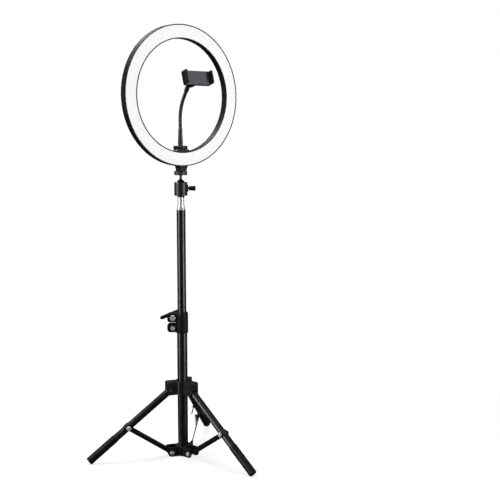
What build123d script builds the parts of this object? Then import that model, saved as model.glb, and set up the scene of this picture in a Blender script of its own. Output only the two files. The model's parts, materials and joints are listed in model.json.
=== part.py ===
"""Ring light on a folding light stand: 26 cm ring head, ball head, gooseneck phone clamp.

Millimetres, +Z up. The origin is on the floor, on the axis of the stand. The lit face of the
ring looks along -Y. One STEP file is written for each sub-part.
"""
from build123d import *
from math import acos, asin, cos, degrees, radians, sin
import os

# ---------------------------------------------------------------- driving dimensions
# Stand
LEG_AZIMUTHS = {"a": 36.25, "b": 156.25, "c": 276.25}
PIVOT_R = 24.5               # pivots of both hubs, from the stand axis
LOWER_PIVOT_Z = 8.1
UPPER_PIVOT_Z = 132.0
HUB_R = 15.5                 # round middle of both hubs
LOWER_LUG_HALF = 11.2
UPPER_LUG_HALF = 9.8
STRUT_HALF = 8.8
LEG_TO_STRUT = 108.0         # along the leg, from the hub pivot to the strut pivot
STRUT_LEN = 102.0            # between the strut's two pivots
LEG_LEN = 204.6              # from the hub pivot to the end of the rubber foot
LEG_R = 7.0
HUB_RIVET_R = 2.0
LEG_RIVET_R = 1.9            # rivet between leg and strut
STRUT_HOLE_R = 3.1           # loose hole of that rivet, which takes up the linkage's play
FOOT_R = 7.7
FOOT_LEN = 66.0
FOOT_END = 4.0               # rubber beyond the end of the leg tube
KNUCKLE_LEN = 7.0            # from the hub pivot to the top of the leg tube
LOWER_TUBE_R = 9.9
LOWER_TUBE_TOP = 262.0
UPPER_TUBE_R = 8.5
UPPER_TUBE_BOTTOM = 207.0
UPPER_TUBE_TOP = 482.0
TUBE_WALL = 1.0
FIT = 0.05                   # radial play of a part held in a bore
SLIDE_FIT = 0.75             # radial play of the upper hub on the lower tube

# Clamp collar
COLLAR_Z = (244.0, 283.0)
COLLAR_R = 11.8
EAR_AZIMUTH = 142.4
EAR_REACH = 28.5
EAR_HALF = 7.5
EAR_SLIT = 2.8
UPPER_EAR_Z = (265.6, 283.0)
LOWER_EAR_Z = (246.2, 262.2)
BOLT_X = 18.2
UPPER_BOLT_Z = sum(UPPER_EAR_Z) / 2
LOWER_BOLT_Z = sum(LOWER_EAR_Z) / 2
CLAMP_BOLT_R = 3.0
FIXING_BOLT_R = 2.5
WING_TILT = 22.0             # outer wing turned down, inner wing turned up
WING_X = (-18.0, 24.5)       # ends of the wing bar, from the knob's axis
WING_LIFT = 4.4              # middle of the wing bar above the knob's axis

# Ball head
SPIGOT_TOP = 506.7
HEAD_R = 12.5
HEAD_TOP = 534.8
BALL_Z = 532.0
BALL_R = 8.25
KNOB_AZIMUTH = -37.6
KNOB_Z = 523.2
DISC_Z = (548.4, 555.8)
BOSS_BOTTOM = 556.8          # underside of the ring head
SCREW_R = 3.15               # 1/4 inch tripod screw

# Ring head
RING_Z = 696.7
RING_R = 131.3
HOLE_R = 104.8
FRONT = 10.6                 # lit face, forward of the stand axis
BACK = -5.3
SHELL = 1.8
POST_R = 118.05
POST_ANGLES = range(0, 360, 60)
BOARD_Z = (1.8, 3.2)
LED_RADII = (113.0, 123.0)
LEDS_PER_ROW = 48
SADDLE_TOP = 596.7

# Phone arm
NUT_TOP = 603.5
NUT_R = 13.4
NECK_R = 3.3
FERRULE_TOP = 636.0
BEND_Z = 653.0               # where the gooseneck starts to bend
BEND_RADIUS = 75.0
BEND_LEAN = 32.0
CLAMP_BALL_Z = 723.0
CLAMP_BALL_R = 5.5
CLAMP_PITCH = 17.0
CLAMP_YAW = 3.6
PLATE_Y = (-18.0, -12.0)     # clamp back plate, front and back faces, from the ball
PLATE_X = (-26.8, 26.5)
PLATE_HALF = 13.25
JAW_TIP_Y = -29.6
JAW_END_X = 35.8
PEG_X = 21.0                 # peg that the jaw spring pushes against
SLOT_LEN = 28.5

# ---------------------------------------------------------------- linkage at rest
PIVOT_GAP = UPPER_PIVOT_Z - LOWER_PIVOT_Z
COS_TILT = (LEG_TO_STRUT**2 + PIVOT_GAP**2 - STRUT_LEN**2) / (2 * LEG_TO_STRUT * PIVOT_GAP)
LEG_TILT = degrees(acos(COS_TILT))
STRUT_TILT = degrees(asin(LEG_TO_STRUT * sin(radians(LEG_TILT)) / STRUT_LEN))


# ---------------------------------------------------------------- small helpers
def rod(radius, low, high):
    """Cylinder on the Z axis between two heights."""
    return Pos(0, 0, (low + high) / 2) * Cylinder(radius, high - low)


def pipe(outer, inner, low, high):
    """Hollow cylinder on the Z axis."""
    return rod(outer, low, high) - rod(inner, low - 1, high + 1)


def cross_rod(radius, low, high):
    """Cylinder on the Y axis between two y values."""
    return Pos(0, (low + high) / 2, 0) * Rot(90, 0, 0) * Cylinder(radius, high - low)


def block(xs, ys, zs):
    """Box between pairs of x, y and z limits."""
    centre = [(low + high) / 2 for low, high in (xs, ys, zs)]
    return Pos(*centre) * Box(xs[1] - xs[0], ys[1] - ys[0], zs[1] - zs[0])


def turned(points):
    """Solid of revolution about Z from a closed outline of (radius, z) points."""
    outline = Polyline([(r, 0, z) for r, z in points], close=True)
    return revolve(make_face(outline), Axis.Z)


def hex_prism(flats, low, high):
    """Hexagonal prism on the Y axis, such as a nut or bolt head."""
    outline = RegularPolygon(flats / 2, 6, major_radius=False)
    return Pos(0, high, 0) * Rot(90, 0, 0) * extrude(outline, high - low)


def fluted(body, count, cutter_r, cutter_at, low, high):
    """Cuts evenly spaced grip flutes into a body that is round about Z."""
    cutter = rod(cutter_r, low - 1, high + 1)
    return body - [Rot(0, 0, 360 * i / count) * Pos(cutter_at, 0, 0) * cutter for i in range(count)]


def edges_along_y(solid, low_x):
    """Edges parallel to Y that lie beyond an x value."""
    return solid.edges().filter_by(Axis.Y).filter_by(lambda e: e.center().X > low_x)


# ---------------------------------------------------------------- folding base
def lower_hub():
    """Moulded hub fixed to the foot of the lower tube, with three forked lugs."""
    lug = block((6, 33), (-LOWER_LUG_HALF, LOWER_LUG_HALF), (1, 19.5))
    lug = fillet(edges_along_y(lug, 30).sort_by(Axis.Z)[0], 8)
    lug = fillet(edges_along_y(lug, 30).sort_by(Axis.Z)[-1], 4)
    fork = block((HUB_R, 40), (-STRUT_HALF - 0.25, STRUT_HALF + 0.25), (-5, 30))
    lug = lug - fork - Pos(PIVOT_R, 0, LOWER_PIVOT_Z) * cross_rod(HUB_RIVET_R + FIT, -15, 15)
    hub = rod(HUB_R, 1, 19.5) + [Rot(0, 0, a) * lug for a in LEG_AZIMUTHS.values()]
    return hub - rod(LOWER_TUBE_R, 3, 30)


def hub_rivets(pivot_z, half, head_r, head):
    """One domed rivet through each lug of a hub."""
    shank = cross_rod(HUB_RIVET_R, -half, half)
    heads = cross_rod(head_r, half, half + head) + cross_rod(head_r, -half - head, -half)
    rivet = chamfer((shank + heads).edges().group_by(Axis.Y)[-1], head / 2)
    rivet = chamfer(rivet.edges().group_by(Axis.Y)[0], head / 2)
    return Compound([Rot(0, 0, a) * Pos(PIVOT_R, 0, pivot_z) * rivet for a in LEG_AZIMUTHS.values()])


def upper_hub():
    """Sliding hub: three box lugs closed at the top, open below where the legs swing."""
    low, high = UPPER_PIVOT_Z - 8.5, UPPER_PIVOT_Z + 17
    lug = block((6, 33), (-UPPER_LUG_HALF, UPPER_LUG_HALF), (low, high))
    lug = fillet(edges_along_y(lug, 30), 3)
    hub = rod(HUB_R, low, high) + [Rot(0, 0, a) * lug for a in LEG_AZIMUTHS.values()]
    slots = [Rot(0, 0, a) * leg_slot() for a in LEG_AZIMUTHS.values()]
    return hub - rod(LOWER_TUBE_R + SLIDE_FIT, 0, 200) - slots


def leg_slot():
    """Room for one leg between its open position and hanging straight down, and its rivet hole."""
    reach = LEG_R + 0.7
    tilt = radians(LEG_TILT)
    start = (PIVOT_R + reach * cos(tilt), UPPER_PIVOT_Z + reach * sin(tilt))
    far = (start[0] + 60 * sin(tilt), start[1] - 60 * cos(tilt))
    left, bottom = PIVOT_R - reach, UPPER_PIVOT_Z - 72
    corners = [(left, UPPER_PIVOT_Z), start, far, (far[0], bottom), (left, bottom)]
    outline = Polyline([(x, 0, z) for x, z in corners], close=True)
    swing = extrude(make_face(outline), LEG_R + 0.3, both=True)
    knuckle = Pos(PIVOT_R, 0, UPPER_PIVOT_Z) * cross_rod(reach, -LEG_R - 0.3, LEG_R + 0.3)
    hole = Pos(PIVOT_R, 0, UPPER_PIVOT_Z) * cross_rod(HUB_RIVET_R + FIT, -15, 15)
    return swing + knuckle + hole


def strut():
    """Channel strut, open on its outer side, pivots on its own Z axis at 0 and STRUT_LEN."""
    half, inner, web_top, lip = STRUT_HALF, STRUT_HALF - 1, -3.6, 3.6
    bar = block((web_top, lip), (-half, half), (0, STRUT_LEN))
    pads = cross_rod(4.8, -half, half) + Pos(0, 0, STRUT_LEN) * cross_rod(5.2, -half, half)
    hollow = block((web_top + 1.0, 20), (-inner, inner), (-20, STRUT_LEN + 20))
    hub_end = block((-20, 20), (-inner, inner), (-20, 7))
    leg_end = block((-20, 20), (-inner, inner), (STRUT_LEN - 24, STRUT_LEN + 20))
    hub_hole = cross_rod(HUB_RIVET_R + FIT, -20, 20)
    leg_hole = Pos(0, 0, STRUT_LEN) * cross_rod(STRUT_HOLE_R, -20, 20)
    return bar + pads - hollow - hub_end - leg_end - hub_hole - leg_hole


def leg_knuckle():
    """Plastic end piece of a leg, rounded about its pivot, with a stem in the tube."""
    rounded = cross_rod(LEG_R, -10, 10) + block((-10, 10), (-10, 10), (0, KNUCKLE_LEN))
    head = rod(LEG_R, -LEG_R, KNUCKLE_LEN) & rounded
    stem = rod(LEG_R - TUBE_WALL, KNUCKLE_LEN, KNUCKLE_LEN + 15)
    return head + stem - cross_rod(HUB_RIVET_R + FIT, -15, 15)


def leg_tube():
    """Leg tube with a cross hole for the strut rivet."""
    tube = pipe(LEG_R, LEG_R - TUBE_WALL, KNUCKLE_LEN, LEG_LEN - FOOT_END)
    return tube - Pos(0, 0, LEG_TO_STRUT) * cross_rod(LEG_RIVET_R, -15, 15)


def leg_clip():
    """Plastic ring over the leg at the strut pivot, thicker on the upper side of the leg."""
    ring = rod(LEG_R, LEG_TO_STRUT - 8, LEG_TO_STRUT + 8)
    saddle = Pos(-1.3, 0, 0) * rod(LEG_R, LEG_TO_STRUT - 6, LEG_TO_STRUT + 6)
    saddle = chamfer(saddle.edges(), 1.0)
    keep = block((-12, -2.5), (-5.6, 5.6), (0, 200))
    return (saddle & keep) - ring


def leg_rivet():
    """Rivet that holds the strut's outer end to the leg."""
    reach = STRUT_HALF + 0.8
    shank = cross_rod(LEG_RIVET_R, -reach, reach)
    head = cross_rod(4.6, reach, reach + 1.7)
    head = chamfer(head.edges().group_by(Axis.Y)[-1], 0.8)
    return Pos(0, 0, LEG_TO_STRUT) * (shank + head + mirror(head, Plane.XZ))


def foot():
    """Rubber foot: a long sleeve with a closed end."""
    sleeve = rod(FOOT_R, LEG_LEN - FOOT_LEN, LEG_LEN)
    sleeve = fillet(sleeve.edges().group_by(Axis.Z)[-1], 1.5)
    sleeve = chamfer(sleeve.edges().group_by(Axis.Z)[0], 0.6)
    return sleeve - rod(LEG_R, 0, LEG_LEN - FOOT_END)


def on_leg(solid, azimuth):
    """Moves a part from the leg's own frame (Z along the leg, +X its underside) to its place."""
    return Rot(0, 0, azimuth) * Pos(PIVOT_R, 0, UPPER_PIVOT_Z) * Rot(0, 180 - LEG_TILT, 0) * solid


def on_strut(solid, azimuth):
    """Moves a part from the strut's own frame to its place."""
    return Rot(0, 0, azimuth) * Pos(PIVOT_R, 0, LOWER_PIVOT_Z) * Rot(0, STRUT_TILT, 0) * solid


# ---------------------------------------------------------------- tubes and clamp collar
def clamp_collar():
    """Split collar: one pair of ears grips the lower tube, the other squeezes the upper tube."""
    body = chamfer(rod(COLLAR_R, *COLLAR_Z).edges(), 0.8)
    for ear_z in (UPPER_EAR_Z, LOWER_EAR_Z):
        ear = block((5, EAR_REACH), (-EAR_HALF, EAR_HALF), ear_z)
        body = body + fillet(edges_along_y(ear, 20), 6)
    slit = block((5, 40), (-EAR_SLIT / 2, EAR_SLIT / 2), (200, 300))
    upper_hole = Pos(BOLT_X, 0, UPPER_BOLT_Z) * cross_rod(CLAMP_BOLT_R + FIT, -20, 20)
    lower_hole = Pos(BOLT_X, 0, LOWER_BOLT_Z) * cross_rod(FIXING_BOLT_R, -20, 20)
    return body - slit - rod(LOWER_TUBE_R, 200, 300) - upper_hole - lower_hole


def guide_bush():
    """Plastic bush that guides the upper tube in the collar."""
    sleeve = rod(LOWER_TUBE_R - FIT, LOWER_TUBE_TOP + 0.5, COLLAR_Z[1])
    flange = rod(10.9, COLLAR_Z[1], COLLAR_Z[1] + 1.2)
    return sleeve + flange - rod(UPPER_TUBE_R + 0.1, 200, 300)


def clamp_bolt():
    """Hex bolt of the upper ears, fixed in them; the wing knob turns on its end."""
    bolt = hex_prism(10, EAR_HALF, EAR_HALF + 4.6) + cross_rod(CLAMP_BOLT_R, -16, EAR_HALF)
    return Pos(BOLT_X, 0, UPPER_BOLT_Z) * bolt


def fixing_bolt():
    """Bolt and nut of the lower ears, as two solids."""
    bolt = hex_prism(8, EAR_HALF, EAR_HALF + 3.2) + cross_rod(FIXING_BOLT_R, -12.4, EAR_HALF)
    nut = hex_prism(8, -EAR_HALF - 4, -EAR_HALF) - cross_rod(FIXING_BOLT_R, -20, 0)
    return Pos(BOLT_X, 0, LOWER_BOLT_Z) * Compound([bolt, nut])


def wing_knob():
    """Two-winged clamping knob on the far side of the upper ears."""
    hub = cross_rod(6.5, -19, -EAR_HALF - 0.3)
    tip_r = 3.5
    inner, outer = WING_X[0] + tip_r, WING_X[1] - tip_r
    bar = block((inner, outer), (-18.3, -12.9), (-tip_r, tip_r))
    bar = bar + [Pos(x, 0, 0) * cross_rod(tip_r, -18.3, -12.9) for x in (inner, outer)]
    knob = hub + Rot(0, WING_TILT, 0) * Pos(0, 0, WING_LIFT) * bar
    return Pos(BOLT_X, 0, UPPER_BOLT_Z) * (knob - cross_rod(CLAMP_BOLT_R + FIT, -16.5, 0))


def on_ears(solid):
    """Turns a part from the ears' own frame (ears along +X) to its place."""
    return Rot(0, 0, EAR_AZIMUTH) * solid


def mast_plug():
    """Slide plug at the foot of the upper tube, which runs in the lower tube."""
    flange = rod(LOWER_TUBE_R - TUBE_WALL - 0.1, UPPER_TUBE_BOTTOM - 4, UPPER_TUBE_BOTTOM)
    return flange + rod(UPPER_TUBE_R - TUBE_WALL, UPPER_TUBE_BOTTOM, UPPER_TUBE_BOTTOM + 14)


def spigot():
    """Turned spigot in the top of the upper tube, with a 1/4 inch screw."""
    z = UPPER_TUBE_TOP
    inside = UPPER_TUBE_R - TUBE_WALL
    return turned([(0, z - 20), (inside, z - 20), (inside, z), (8.3, z), (8.3, z + 1.4), (7.2, z + 4),
                   (6.6, z + 8), (6.2, z + 14), (6.1, SPIGOT_TOP - 0.6), (5.5, SPIGOT_TOP),
                   (SCREW_R, SPIGOT_TOP), (SCREW_R, SPIGOT_TOP + 7.4), (0, SPIGOT_TOP + 8)])


# ---------------------------------------------------------------- ball head
def on_knob_axis(solid):
    """Moves a part from a frame with Z along the lock screw, out of the head, to its place."""
    return Rot(0, 0, KNOB_AZIMUTH) * Pos(0, 0, KNOB_Z) * Rot(0, 90, 0) * solid


def head_housing():
    """Barrel of the ball head, with a boss for the lock screw."""
    barrel = chamfer(rod(HEAD_R, 509.5, HEAD_TOP).edges(), 0.8) + rod(7, SPIGOT_TOP, 509.5)
    boss = on_knob_axis(chamfer(rod(6.8, 6, 14.2).edges().group_by(Axis.Z)[-1], 0.8))
    cavity = rod(9.4, 520, BALL_Z) + Pos(0, 0, BALL_Z) * Sphere(BALL_R + 0.1)
    return barrel + boss - cavity - rod(SCREW_R + FIT, 500, 515.5) - on_knob_axis(rod(2.0 + FIT, 5, 20))


def ball_cup():
    """Nylon seat that the lock screw wedges up against the ball."""
    cup = rod(9.3, 520, 529) - Pos(0, 0, BALL_Z) * Sphere(BALL_R + FIT)
    return cup - rod(4, 510, 530)


def lock_screw():
    """Bare metal screw between the barrel and the lock knob."""
    return on_knob_axis(chamfer(rod(2.0, 9.4, 24).edges(), 0.4))


def lock_knob():
    """Flared grip knob with flutes."""
    grip = turned([(0, 15.2), (3.5, 15.2), (4.1, 16), (4.3, 20), (4.8, 26.8), (4.2, 27.9), (0, 28.4)])
    return on_knob_axis(fluted(grip, 8, 1.2, 5.4, 16.4, 30) - rod(2.0, 10, 24))


def ball_stud():
    """Ball, neck and 1/4 inch screw in one piece."""
    neck = turned([(0, BALL_Z), (4, BALL_Z + 6.5), (2.8, BALL_Z + 8.6), (2.35, BALL_Z + 11),
                   (2.35, DISC_Z[0] - 2), (3, DISC_Z[0] - 0.8), (4.4, DISC_Z[0]), (0, DISC_Z[0])])
    screw = rod(SCREW_R, DISC_Z[0], BOSS_BOTTOM + 7)
    return Pos(0, 0, BALL_Z) * Sphere(BALL_R) + neck + chamfer(screw.edges().group_by(Axis.Z)[-1], 0.6)


def lock_disc():
    """Knurled disc that jams the ring head on the screw."""
    disc = chamfer(rod(HEAD_R, *DISC_Z).edges(), 0.7)
    return fluted(disc, 30, 0.7, HEAD_R + 0.35, *DISC_Z) - rod(SCREW_R + FIT, 500, 600)


def platform_pad():
    """Thin rubber washer on the disc."""
    return pipe(9.6, SCREW_R + FIT, DISC_Z[1], BOSS_BOTTOM)


# ---------------------------------------------------------------- ring head
RING = Plane(origin=(0, 0, RING_Z), x_dir=(1, 0, 0), z_dir=(0, -1, 0)).location


def on_posts(solid):
    """Copies of a solid at the six screw posts, in the ring's own frame (Z forward)."""
    return [Rot(0, 0, a) * Pos(POST_R, 0, 0) * solid for a in POST_ANGLES]


def ring_cavity():
    """Space inside the rear housing, open at the front."""
    cavity = pipe(RING_R - SHELL, HOLE_R + SHELL, BACK + SHELL, FRONT + 5)
    return fillet(cavity.edges().group_by(Axis.Z)[0], 2.2)


def rounded_loft(sections, corner):
    """Straight-sided loft through rounded rectangles, each given as (width, depth, centre y, z)."""
    faces = [Pos(0, y, z) * RectangleRounded(width, depth, corner) for width, depth, y, z in sections]
    return loft(faces, ruled=True)


def rear_housing():
    """Channel-shaped ring shell with a tripod boss below and an arm saddle inside the ring."""
    shell = pipe(RING_R, HOLE_R, BACK, FRONT)
    back_edges = shell.edges().group_by(Axis.Z)[0].sort_by(lambda e: e.radius)
    shell = fillet(back_edges, 4)
    shell = RING * shell
    middle, depth = (-FRONT - BACK) / 2, FRONT - BACK
    flare = [(20.5, 14.6, -2, 0), (20.9, 14.8, -2, 5), (24, 15.2, -2.3, 8), (31, depth - 0.2, middle, 12.5)]
    boss = Pos(0, 0, BOSS_BOTTOM) * rounded_loft(flare, 5)
    saddle = rounded_loft([(42, depth - 0.4, middle, 590), (28, 14.8, -2.5, SADDLE_TOP)], 4)
    shell = shell + boss + saddle - RING * ring_cavity()
    posts = [RING * post for post in on_posts(rod(4.2, BACK + SHELL - 0.5, BOARD_Z[0]))]
    bores = [RING * bore for bore in on_posts(rod(1.7, BACK - 1, FRONT) + rod(3.2, BACK - 1, BACK + SHELL))]
    socket = RING * power_socket_place() * Box(9.2, 3.4, 12)
    inserts = rod(4.5, BOSS_BOTTOM - 1, BOSS_BOTTOM + 9.4) + rod(4.2, SADDLE_TOP - 7.4, SADDLE_TOP + 1)
    return shell + posts - bores - socket - inserts


def diffuser():
    """Milky front cover, slightly crowned, with six screw posts behind it."""
    inner, outer, edge = HOLE_R + SHELL + 0.15, RING_R - SHELL - 0.15, FRONT - 0.7
    mid = (inner + outer) / 2
    sides = Polyline([(inner, 0, edge), (inner, 0, edge - 2), (outer, 0, edge - 2), (outer, 0, edge)])
    crown = ThreePointArc((outer, 0, edge), (mid, 0, edge + 0.9), (inner, 0, edge))
    cover = revolve(make_face([sides, crown]), Axis.Z)
    posts = on_posts(rod(2.4, BOARD_Z[0], edge - 1.5))
    pilots = on_posts(rod(1.45, BOARD_Z[0] - 1, 6.8))
    return RING * (cover + posts - pilots)


def led_board():
    """Ring-shaped circuit board on the housing posts."""
    board = pipe(RING_R - 3, HOLE_R + 3, *BOARD_Z)
    return RING * (board - on_posts(rod(2.7, 0, 10)))


def leds():
    """Two rows of surface-mount LEDs."""
    chips = []
    for radius in LED_RADII:
        for i in range(LEDS_PER_ROW):
            angle = (i + 0.5) * 360 / LEDS_PER_ROW
            chips.append(Rot(0, 0, angle) * Pos(radius, 0, BOARD_Z[1] + 0.35) * Box(2.8, 2.8, 0.7))
    return RING * Compound(chips)


def driver_board():
    """Small arc-shaped board with the driver chips, glued to the back wall."""
    floor = BACK + SHELL
    board = pipe(124, 112, floor, floor + 1.4) & Rot(0, 0, -90) * block((100, 130), (-22, 22), (-10, 10))
    chips = [Rot(0, 0, -90 + a) * Pos(118, 0, floor + 2) * Box(size, size, 2.4) for a, size in
             ((-6, 5), (0, 7), (6, 4))]
    return RING * (board + chips)


def power_socket_place():
    """Centre of the power socket, through the back wall, in the ring's own frame."""
    return Rot(0, 0, -74) * Pos(118.2, 0, 0) * Pos(0, 0, -1.8) * Rot(0, 0, 90)


def power_socket():
    """USB-C style power socket: a flat metal shell with its tongue."""
    shell = Box(9.0, 3.2, 7.0) - Pos(0, 0, -1) * Box(8.2, 2.4, 7.0)
    return RING * power_socket_place() * (shell + Pos(0, 0, 0.4) * Box(6.4, 0.7, 5.6))


def housing_screws():
    """Six screws from the back, through the posts into the diffuser."""
    screw = rod(1.4, BACK + SHELL, 6.4) + rod(2.8, BACK + 0.3, BACK + SHELL)
    slot = block((-2, 2), (-0.35, 0.35), (BACK, BACK + 0.9))
    return RING * Compound(on_posts(screw - slot - Rot(0, 0, 90) * slot))


def tripod_insert():
    """Brass 1/4 inch insert in the boss below the ring."""
    return pipe(4.5, SCREW_R + FIT, BOSS_BOTTOM, BOSS_BOTTOM + 9.4)


def arm_insert():
    """Brass insert in the saddle, which takes the stud of the phone arm."""
    return pipe(4.2, 2.5 + FIT, SADDLE_TOP - 7.4, SADDLE_TOP)


# ---------------------------------------------------------------- phone arm
LEAN = radians(BEND_LEAN)
BEND_END = (-BEND_RADIUS * (1 - cos(LEAN)), BEND_Z + BEND_RADIUS * sin(LEAN))
STRAIGHT = (CLAMP_BALL_Z - BEND_END[1]) / cos(LEAN)
CLAMP_BALL = (0, BEND_END[0] - STRAIGHT * sin(LEAN), CLAMP_BALL_Z)
TOP_FERRULE = (9.5, 22.0)    # start and end of the upper ferrule, back from the ball


def on_arm_end(solid):
    """Moves a part from a frame with Z along the gooseneck's end, at the clamp ball, to its place."""
    return Pos(*CLAMP_BALL) * Rot(BEND_LEAN, 0, 0) * solid


def on_clamp(solid):
    """Moves a part from the phone clamp's own frame (-Y forward, Z up, ball at 0) to its place."""
    return Pos(*CLAMP_BALL) * Rot(0, 0, -CLAMP_YAW) * Rot(-CLAMP_PITCH, 0, 0) * solid


def arm_nut():
    """Lobed nut that locks the arm on the saddle."""
    nut = chamfer(rod(NUT_R, SADDLE_TOP, NUT_TOP).edges(), 0.7)
    return fluted(nut, 9, 2.3, NUT_R + 1.1, SADDLE_TOP, NUT_TOP) - rod(3.1, 500, 700)


def arm_ferrule():
    """Lower end fitting of the arm with its stud."""
    stud = rod(2.5, SADDLE_TOP - 6.5, SADDLE_TOP) + rod(3.05, SADDLE_TOP, NUT_TOP)
    sleeve = turned([(0, NUT_TOP), (4.7, NUT_TOP), (4.7, NUT_TOP + 6), (4.2, FERRULE_TOP - 14),
                     (3.9, FERRULE_TOP - 0.5), (3.5, FERRULE_TOP), (0, FERRULE_TOP)])
    return stud + sleeve


def gooseneck_lower():
    """Upright length of the gooseneck, with a cup at its top."""
    return rod(NECK_R, FERRULE_TOP, BEND_Z - 1.8) - Pos(0, 0, BEND_Z) * Sphere(NECK_R + 0.08)


def gooseneck_upper():
    """Bent length of the gooseneck, with a ball at its foot."""
    top = (CLAMP_BALL[1] + TOP_FERRULE[1] * sin(LEAN), CLAMP_BALL_Z - TOP_FERRULE[1] * cos(LEAN))
    half = LEAN / 2
    middle = (-BEND_RADIUS * (1 - cos(half)), BEND_Z + BEND_RADIUS * sin(half))
    arc = ThreePointArc((0, 0, BEND_Z), (0, *middle), (0, *BEND_END))
    route = arc + Line((0, *BEND_END), (0, *top))
    length = sweep(Plane(origin=(0, 0, BEND_Z), z_dir=(0, 0, 1)) * Circle(NECK_R), path=route)
    return length + Pos(0, 0, BEND_Z) * Sphere(NECK_R)


def clamp_ball_stud():
    """Upper ferrule of the gooseneck with the clamp's ball."""
    start, end = TOP_FERRULE
    stud = rod(2.0, -start - 1, 0) + chamfer(rod(4.3, -end, -start).edges(), 0.5)
    return on_arm_end(Sphere(CLAMP_BALL_R) + stud)


def clamp_ball_nut():
    """Ring nut that keeps the ball in the clamp's socket."""
    nut = fluted(chamfer(rod(12.4, -8, 2.3).edges(), 0.7), 16, 0.9, 12.8, -8, 2.3)
    nut = nut - rod(8.6, -20, 0.6) - Sphere(CLAMP_BALL_R + 0.1)
    return on_clamp(Rot(-90, 0, 0) * nut)


def clamp_envelope(outer_x, inner_x):
    """Rounded outline that one end of the clamp keeps within."""
    back = PLATE_Y[1]
    shape = block(sorted((outer_x, inner_x)), (JAW_TIP_Y, back), (-PLATE_HALF, PLATE_HALF))
    shape = fillet(shape.edges().filter_by(Axis.X).group_by(Axis.Y)[0], 4)
    outer = shape.edges().filter_by(lambda e: abs(e.center().X - outer_x) < 0.01)
    return fillet(outer.filter_by(Axis.Z).group_by(Axis.Y)[-1] + outer.filter_by(Axis.Y), 4.5)


def clamp_body():
    """Clamp back plate with the fixed jaw, a guide pocket for the sliding jaw, and the ball socket."""
    front, back = PLATE_Y
    plate = block(PLATE_X, PLATE_Y, (-PLATE_HALF, PLATE_HALF))
    jaw = block((PLATE_X[0], PLATE_X[0] + 3.2), (JAW_TIP_Y, back), (-PLATE_HALF, PLATE_HALF))
    lip = block((PLATE_X[0], PLATE_X[0] + 4.6), (JAW_TIP_Y, JAW_TIP_Y + 2.4), (-PLATE_HALF, PLATE_HALF))
    body = (plate + jaw + lip) & clamp_envelope(PLATE_X[0], PLATE_X[1] + 1)
    socket = Rot(-90, 0, 0) * (rod(8.5, back, 0.5) - Sphere(CLAMP_BALL_R + 0.1))
    pocket = block((PLATE_X[0] + 5, PLATE_X[1] + 1), (-16.6, -13.4), (-9, 9))
    peg = Pos(PEG_X, 0, 0) * cross_rod(1.2, front + 1, back - 1)
    return on_clamp(body + socket - pocket + peg)


def sliding_jaw():
    """Outer jaw with the tongue that slides in the clamp body."""
    back = PLATE_Y[1]
    tongue = block((PLATE_X[0] + 8, PLATE_X[1] + 2), (-16.5, -13.5), (-8.8, 8.8))
    tongue = tongue - block((PEG_X - SLOT_LEN, PEG_X + 1.5), (-20, -10), (-1.9, 1.9))
    head = block((PLATE_X[1] + 0.2, JAW_END_X), PLATE_Y, (-PLATE_HALF, PLATE_HALF))
    jaw = block((JAW_END_X - 3.2, JAW_END_X), (JAW_TIP_Y, back), (-PLATE_HALF, PLATE_HALF))
    lip = block((JAW_END_X - 4.6, JAW_END_X), (JAW_TIP_Y, JAW_TIP_Y + 2.4), (-PLATE_HALF, PLATE_HALF))
    outer = (head + jaw + lip) & clamp_envelope(JAW_END_X, 0)
    return on_clamp(outer + tongue)


def jaw_pad(side_x, thickness):
    """Rubber pad on the inner face of a jaw."""
    xs = sorted((side_x, side_x + thickness))
    pad = block(xs, (JAW_TIP_Y + 2.6, PLATE_Y[0] - 0.2), (-PLATE_HALF + 1.5, PLATE_HALF - 1.5))
    return on_clamp(pad)


def jaw_spring():
    """Compression spring between the body's peg and the tongue; it closes the sliding jaw."""
    start, end, coil_r, wire_r, turns = PEG_X - SLOT_LEN + 0.6, PEG_X - 1.7, 1.3, 0.25, 9
    path = Helix((end - start) / turns, end - start, coil_r)
    profile = Plane(origin=path @ 0, z_dir=path % 0) * Circle(wire_r)
    coil = sweep(profile, path=path, is_frenet=True)
    return on_clamp(Pos(start, -15, 0) * Rot(0, 90, 0) * coil)


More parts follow.
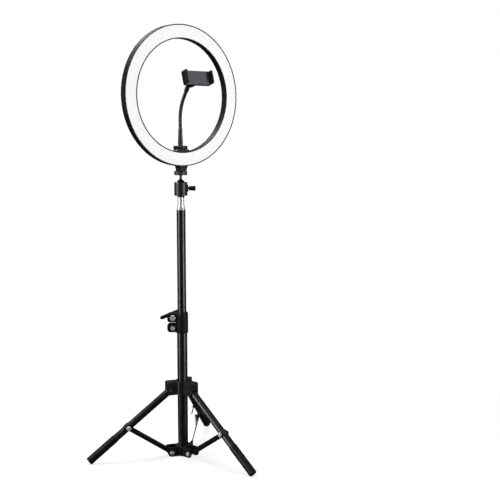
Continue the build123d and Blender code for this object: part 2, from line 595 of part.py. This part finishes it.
# ---------------------------------------------------------------- write every sub-part
def assemble():
    """All sub-parts by node name, each in its place."""
    nodes = {
        "lower_hub": lower_hub(),
        "lower_hub_rivets": hub_rivets(LOWER_PIVOT_Z, LOWER_LUG_HALF, 4.3, 1.6),
        "lower_tube": pipe(LOWER_TUBE_R, LOWER_TUBE_R - TUBE_WALL, 3, LOWER_TUBE_TOP),
        "lower_tube_plug": rod(LOWER_TUBE_R - TUBE_WALL, 3, 9),
        "upper_hub": upper_hub(),
        "upper_hub_rivets": hub_rivets(UPPER_PIVOT_Z, UPPER_LUG_HALF, 3.3, 1.3),
        "clamp_collar": on_ears(clamp_collar()),
        "guide_bush": guide_bush(),
        "clamp_bolt": on_ears(clamp_bolt()),
        "collar_fixing_bolt": on_ears(fixing_bolt()),
        "wing_knob": on_ears(wing_knob()),
        "upper_tube": pipe(UPPER_TUBE_R, UPPER_TUBE_R - TUBE_WALL, UPPER_TUBE_BOTTOM, UPPER_TUBE_TOP),
        "mast_slide_plug": mast_plug(),
        "spigot": spigot(),
        "head_housing": head_housing(),
        "ball_cup": ball_cup(),
        "lock_screw": lock_screw(),
        "lock_knob": lock_knob(),
        "ball_stud": ball_stud(),
        "lock_disc": lock_disc(),
        "platform_pad": platform_pad(),
        "rear_housing": rear_housing(),
        "front_diffuser": diffuser(),
        "led_board": led_board(),
        "leds": leds(),
        "driver_board": driver_board(),
        "power_socket": power_socket(),
        "housing_screws": housing_screws(),
        "tripod_insert": tripod_insert(),
        "arm_insert": arm_insert(),
        "arm_nut": arm_nut(),
        "arm_ferrule": arm_ferrule(),
        "gooseneck_lower": gooseneck_lower(),
        "gooseneck_upper": gooseneck_upper(),
        "clamp_ball_stud": clamp_ball_stud(),
        "clamp_ball_nut": clamp_ball_nut(),
        "clamp_body": clamp_body(),
        "sliding_jaw": sliding_jaw(),
        "fixed_jaw_pad": jaw_pad(PLATE_X[0] + 3.2, 1.2),
        "sliding_jaw_pad": jaw_pad(JAW_END_X - 3.2, -1.2),
        "jaw_spring": jaw_spring(),
    }
    below_floor = Pos(0, 0, -50) * Box(600, 600, 100)
    for letter, azimuth in LEG_AZIMUTHS.items():
        nodes[f"strut_{letter}"] = on_strut(strut(), azimuth)
        nodes[f"leg_knuckle_{letter}"] = on_leg(leg_knuckle(), azimuth)
        nodes[f"leg_tube_{letter}"] = on_leg(leg_tube(), azimuth)
        nodes[f"leg_clip_{letter}"] = on_leg(leg_clip(), azimuth)
        nodes[f"leg_rivet_{letter}"] = on_leg(leg_rivet(), azimuth)
        nodes[f"foot_{letter}"] = on_leg(foot(), azimuth) - below_floor
    return nodes


os.makedirs("parts", exist_ok=True)
for name, shape in assemble().items():
    export_step(shape, f"parts/{name}.step")
print("leg tilt", round(LEG_TILT, 3), "strut tilt", round(STRUT_TILT, 3), "clamp ball", CLAMP_BALL)
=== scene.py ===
"""Looks of the ring light: camera, soft studio light, materials, and the finely detailed pieces.

Metres, in the frame of the CAD model: origin on the floor on the stand's axis, +Z up, and the
lit face of the ring looks along -Y.
"""

import json
from math import cos, pi, radians, sin

import bpy
from mathutils import Matrix, Vector


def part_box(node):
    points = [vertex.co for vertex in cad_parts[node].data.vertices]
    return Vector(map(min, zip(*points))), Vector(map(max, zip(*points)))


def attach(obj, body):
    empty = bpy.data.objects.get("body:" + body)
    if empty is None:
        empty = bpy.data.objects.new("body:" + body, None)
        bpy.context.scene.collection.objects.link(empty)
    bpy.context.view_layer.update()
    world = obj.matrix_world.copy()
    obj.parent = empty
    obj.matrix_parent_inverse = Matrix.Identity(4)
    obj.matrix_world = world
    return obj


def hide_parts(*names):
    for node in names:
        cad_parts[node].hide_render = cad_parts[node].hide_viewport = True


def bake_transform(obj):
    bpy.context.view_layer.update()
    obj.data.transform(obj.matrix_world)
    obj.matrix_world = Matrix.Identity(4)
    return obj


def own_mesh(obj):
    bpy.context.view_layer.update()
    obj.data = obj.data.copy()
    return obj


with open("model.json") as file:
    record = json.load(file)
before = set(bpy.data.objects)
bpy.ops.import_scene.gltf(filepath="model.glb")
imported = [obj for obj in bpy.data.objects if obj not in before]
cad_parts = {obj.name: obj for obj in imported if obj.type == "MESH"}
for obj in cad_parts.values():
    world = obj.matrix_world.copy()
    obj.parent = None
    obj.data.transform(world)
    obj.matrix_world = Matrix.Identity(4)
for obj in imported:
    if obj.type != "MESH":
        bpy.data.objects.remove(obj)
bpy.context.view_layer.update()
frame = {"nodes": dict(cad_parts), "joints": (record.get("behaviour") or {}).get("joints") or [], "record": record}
scene = bpy.context.scene
joints = {joint["name"]: joint for joint in frame["joints"]}


# ---------------------------------------------------------------- placing
CLAMP_X = Vector(joints["jaw_slide"]["axis"]).normalized()       # the way the jaw opens
CLAMP_Y = Vector(joints["clamp_spin"]["axis"]).normalized()      # away from the phone


def placed(origin, x, y, z):
    """Matrix of the frame at an origin with the given axes."""
    return Matrix.Translation(Vector(origin)) @ Matrix((x, y, z)).transposed().to_4x4()


def axis_frame(origin, along, side):
    """Matrix of a right-handed frame with Z along one direction and X towards another."""
    z = Vector(along).normalized()
    x = (Vector(side) - z * Vector(side).dot(z)).normalized()
    return placed(origin, x, z.cross(x), z)


def circle(count):
    """Evenly spaced angles of a full turn."""
    return [2 * pi * i / count for i in range(count)]


# ---------------------------------------------------------------- camera
CAMERA_AT = Vector((-1.0983, -1.4247, 0.6307))
CAMERA_YAW = radians(41.82)      # clockwise from +Y, seen from above
CAMERA_PITCH = radians(7.17)     # downwards
LENS_MM, SENSOR_MM = 67.95, 36.0

camera = bpy.data.objects.new("camera", bpy.data.cameras.new("camera"))
camera.data.lens = LENS_MM
camera.data.sensor_width = SENSOR_MM
camera.location = CAMERA_AT
camera.rotation_euler = (pi / 2 - CAMERA_PITCH, 0, -CAMERA_YAW)
scene.collection.objects.link(camera)
scene.camera = camera


# ---------------------------------------------------------------- light
MIDDLE = Vector((0, 0, 0.45))
LOW_DOWN = Vector((0, 0, 0.1))
AROUND = pi + CAMERA_YAW         # bearing of the camera's side, clockwise from +Y
SIDEWAYS = radians(62)           # the side softboxes stand this far round from the camera
BEHIND = radians(-15)            # bearing of the top softbox
SEEN_WHITE = (1, 1, 1, 1)
REFLECTED_GREY = (0.035, 0.035, 0.037, 1)


def softbox(name, bearing, height, distance, width, tall, watts, aim=MIDDLE):
    """Rectangular area light at a bearing from the stand, turned towards a point."""
    data = bpy.data.lights.new(name, "AREA")
    data.shape = "RECTANGLE"
    data.size, data.size_y = width, tall
    data.energy = watts
    lamp = bpy.data.objects.new(name, data)
    lamp.location = (distance * sin(bearing), distance * cos(bearing), height)
    lamp.rotation_euler = (aim - lamp.location).to_track_quat("-Z", "Y").to_euler()
    scene.collection.objects.link(lamp)


def studio_world():
    """White behind the object, and a much dimmer grey in its reflections."""
    world = bpy.data.worlds.new("studio")
    scene.world = world
    world.use_nodes = True
    nodes, links = world.node_tree.nodes, world.node_tree.links
    nodes.clear()
    seen = nodes.new("ShaderNodeBackground")
    seen.inputs["Color"].default_value = SEEN_WHITE
    fill = nodes.new("ShaderNodeBackground")
    fill.inputs["Color"].default_value = REFLECTED_GREY
    path = nodes.new("ShaderNodeLightPath")
    mix = nodes.new("ShaderNodeMixShader")
    output = nodes.new("ShaderNodeOutputWorld")
    links.new(path.outputs["Is Camera Ray"], mix.inputs["Fac"])
    links.new(fill.outputs[0], mix.inputs[1])
    links.new(seen.outputs[0], mix.inputs[2])
    links.new(mix.outputs[0], output.inputs["Surface"])


for side_name, side_bearing in (("left_softbox", AROUND + SIDEWAYS),
                                ("right_softbox", AROUND - SIDEWAYS)):
    softbox(side_name, side_bearing, height=0.6, distance=1.7, width=0.55, tall=1.7, watts=22)
softbox("top_softbox", BEHIND, height=2.1, distance=0.58, width=1.0, tall=1.0, watts=70,
        aim=LOW_DOWN)
studio_world()
scene.view_settings.view_transform = "Standard"


# ---------------------------------------------------------------- material nodes
class Recipe:
    """A material under construction: a Principled shader and helpers that feed it."""

    def __init__(self, name):
        self.name = name
        self.material = bpy.data.materials.new(name)
        self.material.use_nodes = True
        self.tree = self.material.node_tree
        self.tree.nodes.clear()
        self.shader = self.node("ShaderNodeBsdfPrincipled")
        self.output = self.node("ShaderNodeOutputMaterial")
        self.link(self.shader.outputs[0], self.output.inputs["Surface"])
        self.coordinates = self.node("ShaderNodeTexCoord").outputs

    def node(self, kind, **settings):
        """Adds a node with the given settings."""
        made = self.tree.nodes.new(kind)
        for key, value in settings.items():
            setattr(made, key, value)
        return made

    def link(self, source, target):
        """Joins an output to an input."""
        self.tree.links.new(source, target)

    def feed(self, key, source):
        """Joins an output to an input of the shader."""
        self.link(source, self.shader.inputs[key])

    def set(self, **values):
        """Sets plain inputs of the shader; an underscore stands for a space."""
        for key, value in values.items():
            self.shader.inputs[key.replace("_", " ")].default_value = value

    def noise(self, scale, detail=2.0, stretch=(1, 1, 1)):
        """Noise of so many features per metre, stretched along an axis if asked."""
        mapping = self.node("ShaderNodeMapping")
        mapping.inputs["Scale"].default_value = stretch
        self.link(self.coordinates["Object"], mapping.inputs["Vector"])
        texture = self.node("ShaderNodeTexNoise")
        texture.inputs["Scale"].default_value = scale
        texture.inputs["Detail"].default_value = detail
        self.link(mapping.outputs[0], texture.inputs["Vector"])
        return texture.outputs["Fac"]

    def scaled(self, value, low, high, start=0.35, end=0.65):
        """Maps a value between start and end onto the range between two numbers."""
        mapped = self.node("ShaderNodeMapRange")
        inputs = (("From Min", start), ("From Max", end), ("To Min", low), ("To Max", high))
        for key, number in inputs:
            mapped.inputs[key].default_value = number
        self.link(value, mapped.inputs["Value"])
        return mapped.outputs["Result"]

    def tinted(self, value, low, high, start=0.35, end=0.65):
        """Maps a value between start and end onto the range between two colours."""
        mapped = self.node("ShaderNodeValToRGB")
        stops = zip(mapped.color_ramp.elements, (start, end), (low, high))
        for element, place, colour in stops:
            element.position = place
            element.color = (*colour, 1)
        self.link(value, mapped.inputs["Fac"])
        return mapped.outputs["Color"]

    def bump(self, height, depth, strength, edge=0.0):
        """Bumps the surface by a height field, after rounding edges by a radius."""
        node = self.node("ShaderNodeBump")
        node.inputs["Distance"].default_value = depth
        node.inputs["Strength"].default_value = strength
        self.link(height, node.inputs["Height"])
        if edge:
            bevel = self.node("ShaderNodeBevel", samples=4)
            bevel.inputs["Radius"].default_value = edge
            self.link(bevel.outputs[0], node.inputs["Normal"])
        self.feed("Normal", node.outputs[0])


def shade(colour, factor):
    """A colour made darker or lighter."""
    return tuple(min(1.0, channel * factor) for channel in colour)


def grey(level):
    """A neutral colour."""
    return (level, level, level)


# ---------------------------------------------------------------- finishes
GRAIN_DEPTH = 0.00002            # spark-eroded texture of mouldings
FINE_DEPTH = 0.00001             # orange peel, turning marks, mottling
TRACK_DEPTH = 0.00005            # copper tracks under solder resist
PLAIN_EDGE = 0.0003              # rounding of moulded and painted edges
CRISP_EDGE = 0.0001              # rounding of small painted parts
PHONE_SIDE_HIGHLIGHT = (0.125, 0.125, 0.142, 1)            # painted highlight on the clamp's face to the phone


def moulded(name, colour, rough, grain=2500.0, shine=0.5):
    """Moulded plastic or rubber: fine spark-eroded texture with slightly uneven gloss."""
    make = Recipe(name)
    clouds = make.noise(60.0, 3.0)
    make.feed("Base Color", make.tinted(clouds, shade(colour, 0.85), shade(colour, 1.15)))
    make.feed("Roughness", make.scaled(clouds, rough - 0.04, rough + 0.05))
    make.bump(make.noise(grain), GRAIN_DEPTH, 0.25, PLAIN_EDGE)
    make.set(Specular_IOR_Level=shine)
    return make


def painted(name, colour, rough, edge=PLAIN_EDGE):
    """Powder-coated metal: soft orange peel, and faint dust in the gloss."""
    make = Recipe(name)
    peel = make.noise(900.0)
    clouds = make.noise(35.0, 4.0)
    make.feed("Base Color", make.tinted(clouds, shade(colour, 0.8), shade(colour, 1.2)))
    make.feed("Roughness", make.scaled(clouds, rough - 0.03, rough + 0.04))
    make.bump(peel, FINE_DEPTH, 0.15, edge)
    make.set(Coat_Weight=0.3, Coat_Roughness=rough * 0.8)
    return make


def metal(name, colour, rough, brush=(1, 1, 1), edge=0.0002, tarnish=0.15):
    """Bare or plated metal: turning or drawing marks and slight tarnish."""
    make = Recipe(name)
    marks = make.noise(1500.0, 3.0, brush)
    clouds = make.noise(180.0, 3.0)
    make.feed("Base Color", make.tinted(clouds, shade(colour, 1 - tarnish), colour))
    make.feed("Roughness", make.scaled(marks, rough * 0.7, rough * 1.4))
    make.bump(marks, FINE_DEPTH, 0.15, edge)
    make.set(Metallic=1.0)
    return make


def milky(name):
    """Milky diffuser of the ring: lit evenly from behind, with the faintest mottling."""
    make = Recipe(name)
    clouds = make.noise(240.0, 4.0)
    make.feed("Base Color", make.tinted(clouds, grey(0.69), grey(0.72)))
    make.feed("Emission Color", make.tinted(clouds, grey(0.965), grey(0.995)))
    make.set(Roughness=0.5, Emission_Strength=0.51)
    make.set(Subsurface_Weight=0.1, Subsurface_Radius=(0.004, 0.004, 0.004))
    make.bump(make.noise(1800.0), FINE_DEPTH, 0.05)
    return make


def speckled_board(name, colour, light):
    """Printed circuit board: solder resist with tracks of a lighter tone showing through."""
    make = Recipe(name)
    tracks = make.noise(220.0, 0.0, (1, 1, 4))
    make.feed("Base Color", make.tinted(tracks, colour, light, 0.48, 0.52))
    make.set(Roughness=0.35)
    make.bump(tracks, TRACK_DEPTH, 0.4)
    return make


def clamp_with_painted_highlight(name):
    """Moulded clamp with a painted highlight: a lighter colour on the face towards the phone."""
    make = moulded(name, (0.006, 0.006, 0.007), 0.50, grain=1800.0, shine=0.2)
    # painted highlight: faces turned towards the phone get a lighter colour than the dark moulding
    facing = make.node("ShaderNodeVectorMath", operation="DOT_PRODUCT")
    facing.inputs[1].default_value = -CLAMP_Y
    make.link(make.coordinates["Normal"], facing.inputs[0])
    dark = make.shader.inputs["Base Color"].links[0].from_socket
    mix = make.node("ShaderNodeMix", data_type="RGBA")
    make.link(make.scaled(facing.outputs["Value"], 0.0, 1.0, 0.85, 0.98), mix.inputs["Factor"])
    make.link(dark, mix.inputs["A"])
    mix.inputs["B"].default_value = PHONE_SIDE_HIGHLIGHT
    make.feed("Base Color", mix.outputs["Result"])
    return make


def floor_finish(name):
    """Pale studio sweep that fades into the white behind it."""
    make = Recipe(name)
    make.tree.nodes.remove(make.shader)
    distance = make.node("ShaderNodeVectorMath", operation="LENGTH")
    make.link(make.coordinates["Object"], distance.inputs[0])
    faint = make.noise(3.0, 3.0)
    diffuse = make.node("ShaderNodeBsdfDiffuse")
    make.link(make.tinted(faint, grey(0.90), grey(0.94)), diffuse.inputs["Color"])
    glow = make.node("ShaderNodeEmission")
    mix = make.node("ShaderNodeMixShader")
    fade = make.scaled(distance.outputs["Value"], 0.80, 1.0, 0.25, 0.9)
    make.link(fade, mix.inputs["Fac"])
    make.link(diffuse.outputs[0], mix.inputs[1])
    make.link(glow.outputs[0], mix.inputs[2])
    make.link(mix.outputs[0], make.output.inputs["Surface"])
    return make


FINISHES = (
    moulded("hub_black", (0.010, 0.010, 0.011), 0.34),
    moulded("collar_black", (0.007, 0.006, 0.008), 0.50, shine=0.2),
    painted("tube_black", (0.006, 0.006, 0.007), 0.32),
    painted("strut_black", (0.006, 0.006, 0.007), 0.19),
    metal("zinc_steel", (0.86, 0.87, 0.88), 0.55),
    moulded("foot_rubber", grey(0.007), 0.36, grain=1600.0, shine=0.25),
    metal("spigot_chrome", (0.78, 0.79, 0.81), 0.48, brush=(1, 1, 12), tarnish=0.05),
    painted("head_black", (0.005, 0.005, 0.006), 0.42),
    moulded("knob_black", (0.009, 0.009, 0.010), 0.45, shine=0.35),
    metal("bare_steel", grey(0.60), 0.22, brush=(1, 1, 8)),
    painted("stud_black", (0.008, 0.008, 0.009), 0.18, edge=CRISP_EDGE),
    moulded("nylon_white", (0.72, 0.72, 0.68), 0.40),
    moulded("pad_rubber", grey(0.006), 0.60, grain=1400.0, shine=0.2),
    moulded("housing_black", (0.004, 0.004, 0.005), 0.42, grain=1800.0, shine=0.3),
    milky("diffuser_white"),
    speckled_board("board_white", (0.72, 0.72, 0.70), (0.80, 0.80, 0.78)),
    moulded("led_yellow", (0.80, 0.62, 0.15), 0.30),
    speckled_board("board_green", (0.02, 0.12, 0.04), (0.04, 0.20, 0.07)),
    metal("socket_steel", (0.58, 0.58, 0.60), 0.25),
    painted("screw_black", (0.015, 0.015, 0.016), 0.30, edge=CRISP_EDGE),
    metal("insert_brass", (0.72, 0.52, 0.22), 0.25),
    painted("neck_black", (0.006, 0.006, 0.007), 0.42, edge=CRISP_EDGE),
    clamp_with_painted_highlight("clamp_black"),
    metal("spring_steel", (0.52, 0.52, 0.53), 0.25, edge=0.0),
)
MATERIALS = {finish.name: finish.material for finish in FINISHES}

for subpart in frame["record"]["subparts"]:
    mesh = frame["nodes"][subpart["node"]].data
    mesh.materials.clear()
    mesh.materials.append(MATERIALS[subpart["material_slot"]])


# ---------------------------------------------------------------- mesh helpers
def add_piece(name, points, faces, slot, hides, body=None, smooth=True):
    """Makes a mesh object that takes the place of CAD nodes, with its finish and body."""
    mesh = bpy.data.meshes.new(name)
    mesh.from_pydata([tuple(point) for point in points], [], faces)
    mesh.validate()
    if smooth:
        mesh.shade_smooth()
    else:
        mesh.shade_flat()
    mesh.materials.append(MATERIALS[slot])
    piece = bpy.data.objects.new(name, mesh)
    scene.collection.objects.link(piece)
    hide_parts(*hides)
    if body:
        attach(piece, body)
    return piece


def skin(rings):
    """Points and faces of a closed solid through rings of equally many points."""
    sides = len(rings[0])
    points = [point for ring in rings for point in ring]
    faces = []
    for i in range(len(rings) - 1):
        here, there = i * sides, (i + 1) * sides
        for j in range(sides):
            k = (j + 1) % sides
            faces.append((here + j, here + k, there + k, there + j))
    faces.append(tuple(reversed(range(sides))))
    faces.append(tuple(range((len(rings) - 1) * sides, len(rings) * sides)))
    return points, faces


def squared(value):
    """Pushes a sine or cosine outwards, which squares up a round section."""
    return abs(value) ** 0.6 * (1 if value > 0 else -1)


# ---------------------------------------------------------------- gooseneck
HOSE_R = 0.0033
HOSE_PITCH = 0.0021
HOSE_GROOVE = 0.00022
HOSE_SIDES = 24
RINGS_PER_GROOVE = 7
BEND_RADIUS = 0.075
BEND_LEAN = radians(32)
HOSE_TO_BALL = 0.022             # the hose's centreline ends this far from the clamp's ball


def hose_route(step):
    """Centreline of the gooseneck, bent in the YZ plane, as (length, point, direction)."""
    bend = Vector(joints["gooseneck_bend"]["pos_m"])
    ball = Vector(joints["clamp_tilt"]["pos_m"])
    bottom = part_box("gooseneck_lower")[0].z
    lean = Vector((0, -sin(BEND_LEAN), cos(BEND_LEAN)))
    top = ball - lean * HOSE_TO_BALL
    bend_end = bend + BEND_RADIUS * Vector((0, cos(BEND_LEAN) - 1, sin(BEND_LEAN)))
    upright, arc, straight = bend.z - bottom, BEND_RADIUS * BEND_LEAN, (top - bend_end).length
    total = upright + arc + straight
    count = round(total / step)
    for i in range(count + 1):
        s = total * i / count
        if s <= upright:
            yield s, Vector((bend.x, bend.y, bottom + s)), Vector((0, 0, 1))
        elif s <= upright + arc:
            turn = (s - upright) / BEND_RADIUS
            point = bend + BEND_RADIUS * Vector((0, cos(turn) - 1, sin(turn)))
            yield s, point, Vector((0, -sin(turn), cos(turn)))
        else:
            yield s, bend_end + lean * (s - upright - arc), lean


def gooseneck_hose():
    """Flexible hose wound from one profiled strip, so its groove is a helix."""
    rings = []
    for s, point, along in hose_route(HOSE_PITCH / RINGS_PER_GROOVE):
        place = axis_frame(point, along, (1, 0, 0))
        ring = []
        for angle in circle(HOSE_SIDES):
            wave = 0.5 + 0.5 * cos(2 * pi * s / HOSE_PITCH - angle)
            radius = HOSE_R - HOSE_GROOVE * wave**5
            ring.append(place @ Vector((radius * cos(angle), radius * sin(angle), 0)))
        rings.append(ring)
    hose = add_piece("gooseneck_hose", *skin(rings), "neck_black",
                     hides=("gooseneck_lower", "gooseneck_upper"))
    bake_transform(hose)


gooseneck_hose()


# ---------------------------------------------------------------- lock screw and wing knob
SCREW_START, SCREW_END = 0.0094, 0.0240          # along the lock knob's axis
SCREW_R = 0.0020
SCREW_PITCH = 0.0007
SCREW_DEPTH = 0.00022
SCREW_SIDES = 20
RINGS_PER_THREAD = 6
TIP_START, TIP_LENGTH = 0.6, 0.001               # the tip widens from this share of the radius

WING_TILT = radians(22)
WING_X = (-0.0179, 0.0244)       # the bar's two ends, from the bolt
WING_Y = -0.0156                 # the bar's middle, along the bolt
WING_LIFT = 0.0044               # of the bar above the bolt
WING_HALF_HEIGHT, WING_HALF_DEPTH = 0.0036, 0.0028
WING_TAPER = 0.0005              # less half depth at the bar's ends
WING_ROUND = 0.2                 # share of the bar's reach that is rounded off
WING_SIDES = 24
WING_STATIONS = (-1.0, -0.99, -0.96, -0.9, -0.8, -0.5, -0.2,
                 0.2, 0.5, 0.8, 0.9, 0.96, 0.99, 1.0)
HUB_SIDES = 40
HUB_PROFILE = ((0.0035, -0.0078), (0.0060, -0.0078), (0.0065, -0.0084), (0.0065, -0.0170),
               (0.0061, -0.0180), (0.0050, -0.0187), (0.0025, -0.0190))


def lock_screw_thread():
    """Threaded lock screw of the ball head, with a chamfered tip inside the barrel."""
    joint = joints["knob_turn"]
    place = axis_frame(joint["pos_m"], joint["axis"], (0, 0, 1))
    length = SCREW_END - SCREW_START
    steps = round(length / SCREW_PITCH * RINGS_PER_THREAD)
    rings = []
    for i in range(steps + 1):
        z = SCREW_START + length * i / steps
        tip = min(1.0, TIP_START + (z - SCREW_START) / TIP_LENGTH)
        ring = []
        for angle in circle(SCREW_SIDES):
            ramp = abs((z / SCREW_PITCH - angle / (2 * pi)) % 1 * 2 - 1)
            r = (SCREW_R - SCREW_DEPTH * ramp) * tip
            ring.append(place @ Vector((r * cos(angle), r * sin(angle), z)))
        rings.append(ring)
    add_piece("lock_screw_thread", *skin(rings), "bare_steel", body="knob",
              hides=("lock_screw",))


def wing_section(u, place):
    """Section of the wing bar at a share of its reach, rounded off towards both ends."""
    reach = WING_X[1] if u > 0 else -WING_X[0]
    past = max(0.0, (abs(u) - (1 - WING_ROUND)) / WING_ROUND)
    round_off = max(0.05, (1 - past ** 2) ** 0.5)
    half_height = WING_HALF_HEIGHT * round_off
    half_depth = (WING_HALF_DEPTH - WING_TAPER * abs(u)) * round_off
    return [place @ Vector((u * reach,
                            WING_Y + half_depth * squared(cos(angle)),
                            WING_LIFT + half_height * squared(sin(angle))))
            for angle in circle(WING_SIDES)]


def wing_knob_grip():
    """Clamping knob with a rounded wing bar across the top of a domed hub."""
    joint = joints["wing_turn"]
    y = Vector(joint["axis"]).normalized()
    z = Vector((0, 0, 1))
    place = placed(joint["pos_m"], y.cross(z), y, z)
    hub = [[place @ Vector((r * cos(angle), h, r * sin(angle))) for angle in circle(HUB_SIDES)]
           for r, h in HUB_PROFILE]
    points, faces = skin(hub)
    tilted = place @ Matrix.Rotation(WING_TILT, 4, "Y")
    bar_points, bar_faces = skin([wing_section(u, tilted) for u in WING_STATIONS])
    faces += [tuple(i + len(points) for i in face) for face in bar_faces]
    points += bar_points
    add_piece("wing_knob_grip", points, faces, "collar_black", body="wing",
              hides=("wing_knob",))


lock_screw_thread()
wing_knob_grip()


# ---------------------------------------------------------------- phone clamp details
CLAMP_PLACE = placed(joints["clamp_spin"]["pos_m"], CLAMP_X, CLAMP_Y, CLAMP_X.cross(CLAMP_Y))

PAD_LOW_Y, PAD_HIGH_Y = -0.0270, -0.0182
PAD_HALF = 0.01175               # half of the pads' height
PAD_RIBS = 6
STEPS_PER_RIB = 8
PAD_CHAMFER, PAD_INSET = 0.0004, 0.94

SPRING_START, SPRING_END = -0.0069, 0.0193       # along the jaw's travel
SPRING_Y = -0.015
COIL_R, WIRE_R = 0.0013, 0.00025
COIL_TURNS = 11
CLOSED_SHARE = 0.04              # share of the pitch that the closed end turns keep
STEPS_PER_TURN = 20
WIRE_SIDES = 8


def ribbed_pad(name, back_x, front_x, body, node):
    """Rubber pad of a jaw with fine upright ribs towards the phone."""
    pitch = (PAD_HIGH_Y - PAD_LOW_Y) / PAD_RIBS
    outline = [(back_x, PAD_HIGH_Y), (back_x, PAD_LOW_Y)]
    for i in range(PAD_RIBS * STEPS_PER_RIB + 1):
        y = PAD_LOW_Y + pitch * i / STEPS_PER_RIB
        wave = abs(sin(pi * (y - PAD_LOW_Y) / pitch)) ** 0.6
        outline.append((back_x + (front_x - back_x) * (0.55 + 0.45 * wave), y))
    middle = Vector(((back_x + front_x) / 2, (PAD_LOW_Y + PAD_HIGH_Y) / 2, 0))
    levels = ((-PAD_HALF, PAD_INSET), (-PAD_HALF + PAD_CHAMFER, 1.0),
              (PAD_HALF - PAD_CHAMFER, 1.0), (PAD_HALF, PAD_INSET))
    rings = []
    for z, inset in levels:
        up = Vector((0, 0, z))
        ring = [middle + (Vector((x, y, 0)) - middle) * inset + up for x, y in outline]
        rings.append([CLAMP_PLACE @ point for point in ring])
    add_piece(name, *skin(rings), "pad_rubber", body=body, hides=(node,), smooth=False)


def jaw_spring_coil():
    """Compression spring of the sliding jaw, with closed ends, built at one fixed length."""
    steps = COIL_TURNS * STEPS_PER_TURN
    length = SPRING_END - SPRING_START - 2 * WIRE_R
    forward = Vector((1, 0, 0))
    rings = []
    for i in range(steps + 1):
        t = i / steps
        spread = min(max((t * COIL_TURNS - 1) / (COIL_TURNS - 2), 0.0), 1.0)
        share = (1 - CLOSED_SHARE) * spread + CLOSED_SHARE * t
        angle = 2 * pi * COIL_TURNS * t
        out = Vector((0, cos(angle), sin(angle)))
        centre = Vector((SPRING_START + WIRE_R + length * share, SPRING_Y, 0)) + out * COIL_R
        ring = [centre + WIRE_R * (out * cos(a) + forward * sin(a)) for a in circle(WIRE_SIDES)]
        rings.append([CLAMP_PLACE @ point for point in ring])
    spring = add_piece("jaw_spring_coil", *skin(rings), "spring_steel", body="clamp",
                       hides=("jaw_spring",))
    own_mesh(spring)


ribbed_pad("fixed_jaw_ribs", -0.0236, -0.0224, "clamp", "fixed_jaw_pad")
ribbed_pad("sliding_jaw_ribs", 0.0326, 0.0314, "jaw", "sliding_jaw_pad")
jaw_spring_coil()


# ---------------------------------------------------------------- floor
FLOOR_R = 6.0
FLOOR_SIDES = 96


def studio_floor():
    """Large round floor at the height of the feet, left out of reflections on the object."""
    rim = [(FLOOR_R * cos(angle), FLOOR_R * sin(angle), 0) for angle in circle(FLOOR_SIDES)]
    mesh = bpy.data.meshes.new("studio_floor")
    mesh.from_pydata(rim, [], [tuple(range(FLOOR_SIDES))])
    mesh.materials.append(floor_finish("studio_floor").material)
    floor = bpy.data.objects.new("studio_floor", mesh)
    scene.collection.objects.link(floor)
    floor.visible_glossy = False
    floor.visible_diffuse = False


studio_floor()
